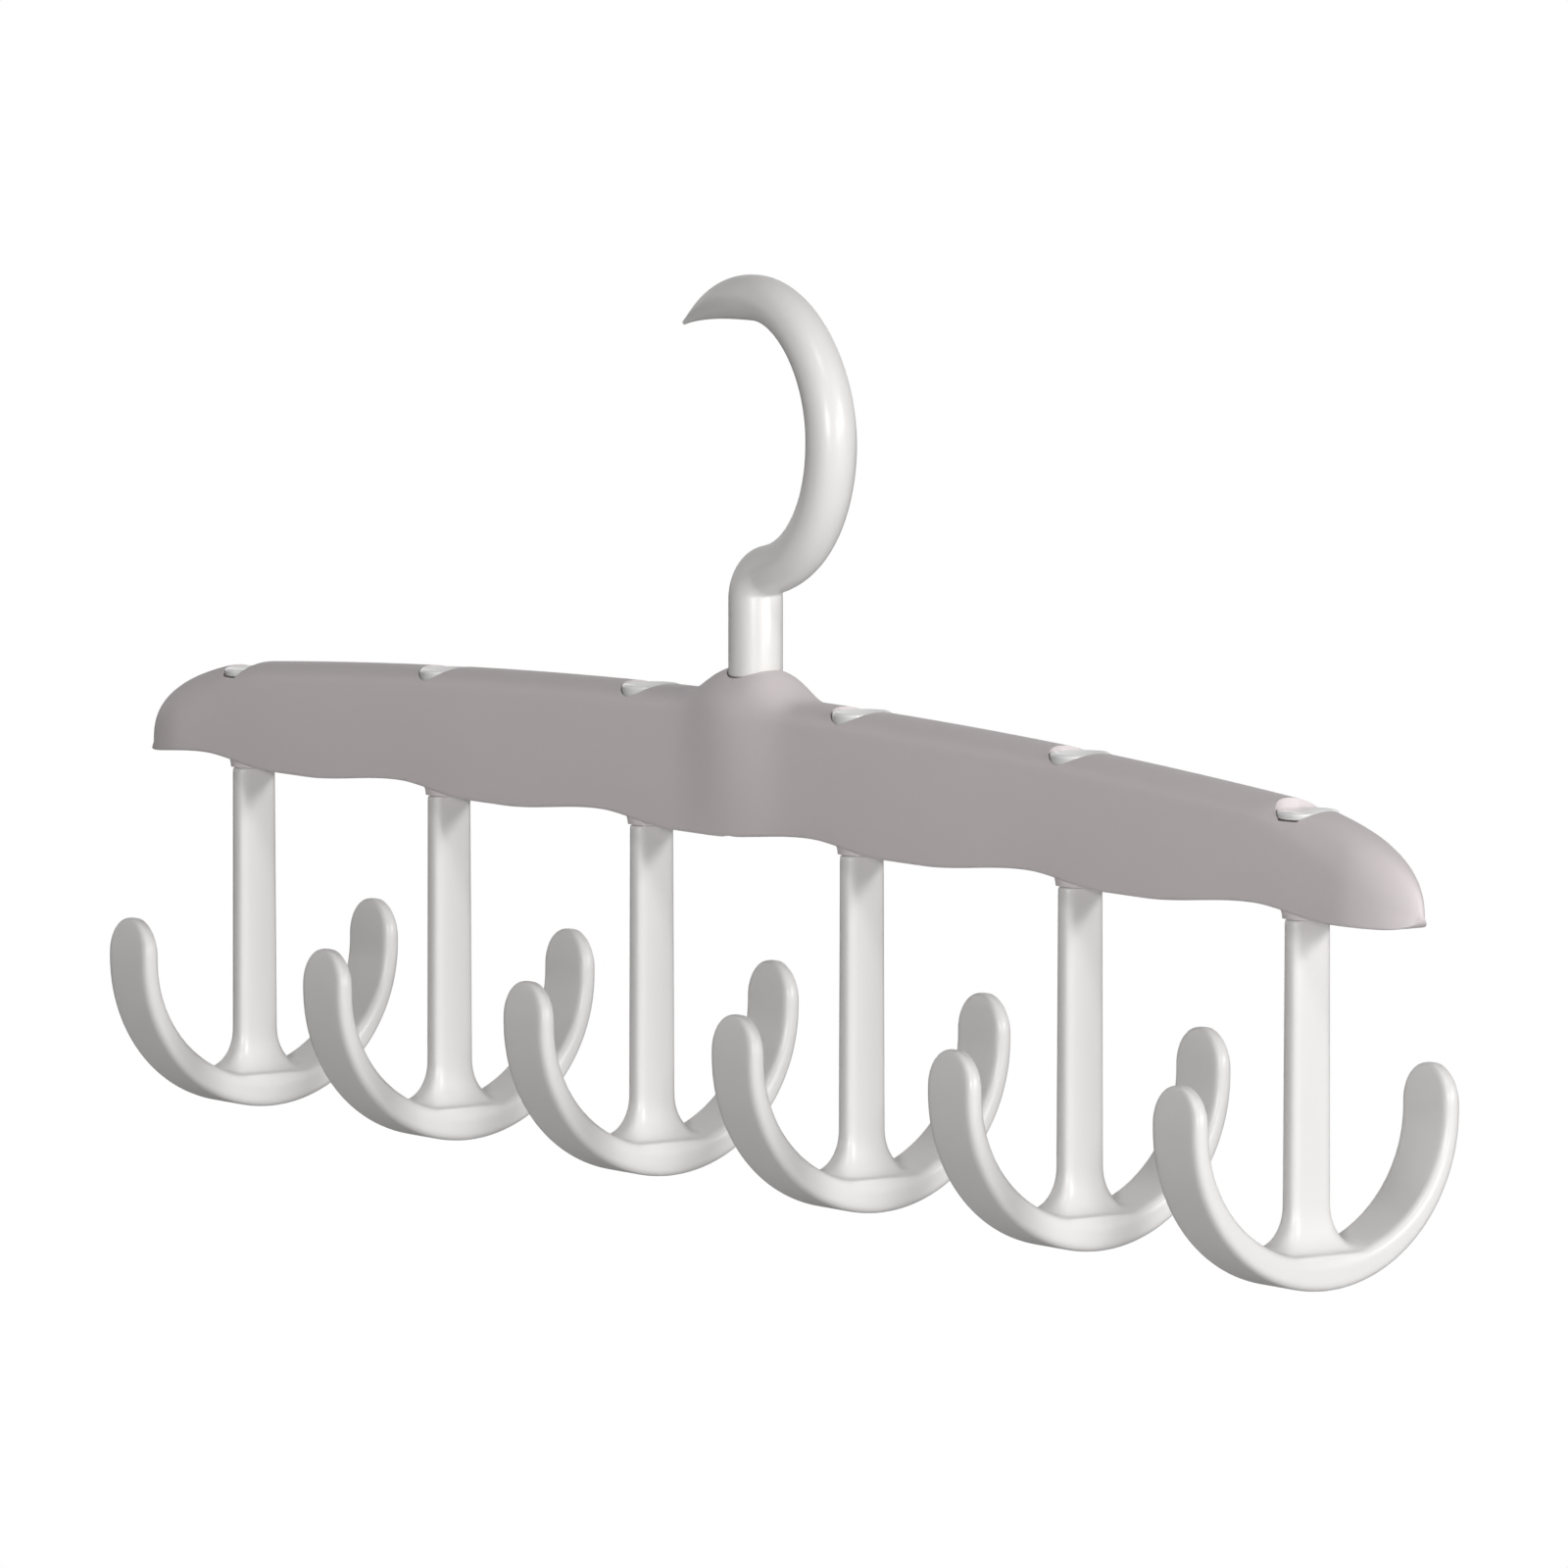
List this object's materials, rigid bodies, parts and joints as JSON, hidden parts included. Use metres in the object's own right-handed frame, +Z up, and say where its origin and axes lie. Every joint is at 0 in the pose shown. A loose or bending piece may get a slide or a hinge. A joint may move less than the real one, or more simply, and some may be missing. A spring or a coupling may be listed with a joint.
{
  "type": "multi-hook hanger",
  "caption": "Rail hanger with a swivelling round hook, a moulded arched beam and a row of turning anchor-shaped double hooks for bags, belts, ties and scarves.",
  "frame": {"origin": "rail seat: the highest point inside the bow of the main hook, where the hanger rests on its rail, on the axis of the shank and in the middle of the rod", "axes": "+X along the beam, away from the open side of the bow; +Y across the beam; +Z up"},
  "size_m": [0.3978, 0.0606, 0.172],
  "materials": {
    "hook_plastic": "smooth moulded warm white, semi-gloss",
    "beam_plastic": "smooth moulded warm white, slightly softer gloss",
    "cap_plastic": "smooth moulded white",
    "washer_nylon": "natural nylon",
    "clip_steel": "plain spring steel"
  },
  "bodies": {
    "top_hook": {"main_hook": "hook_plastic", "swivel_washer": "washer_nylon", "retaining_clip": "clip_steel"},
    "beam": {"beam": "beam_plastic"},
    "hook_1": {"double_hook_1": "hook_plastic", "pin_cap_1": "cap_plastic"},
    "hook_2": {"double_hook_2": "hook_plastic", "pin_cap_2": "cap_plastic"},
    "hook_3": {"double_hook_3": "hook_plastic", "pin_cap_3": "cap_plastic"},
    "hook_4": {"double_hook_4": "hook_plastic", "pin_cap_4": "cap_plastic"},
    "hook_5": {"double_hook_5": "hook_plastic", "pin_cap_5": "cap_plastic"},
    "hook_6": {"double_hook_6": "hook_plastic", "pin_cap_6": "cap_plastic"}
  },
  "joints": [
    {"name": "beam_swivel", "type": "hinge", "parent": "top_hook", "child": "beam", "pos_m": [0, 0, -0.0679], "axis": [0, 0, 1], "continuous": true},
    {"name": "hook_1_turn", "type": "hinge", "parent": "beam", "child": "hook_1", "pos_m": [-0.165, 0, -0.0973], "axis": [0, 0, 1], "continuous": true},
    {"name": "hook_2_turn", "type": "hinge", "parent": "beam", "child": "hook_2", "pos_m": [-0.099, 0, -0.0973], "axis": [0, 0, 1], "continuous": true},
    {"name": "hook_3_turn", "type": "hinge", "parent": "beam", "child": "hook_3", "pos_m": [-0.033, 0, -0.0973], "axis": [0, 0, 1], "continuous": true},
    {"name": "hook_4_turn", "type": "hinge", "parent": "beam", "child": "hook_4", "pos_m": [0.033, 0, -0.0973], "axis": [0, 0, 1], "continuous": true},
    {"name": "hook_5_turn", "type": "hinge", "parent": "beam", "child": "hook_5", "pos_m": [0.099, 0, -0.0973], "axis": [0, 0, 1], "continuous": true},
    {"name": "hook_6_turn", "type": "hinge", "parent": "beam", "child": "hook_6", "pos_m": [0.165, 0, -0.0973], "axis": [0, 0, 1], "continuous": true}
  ]
}
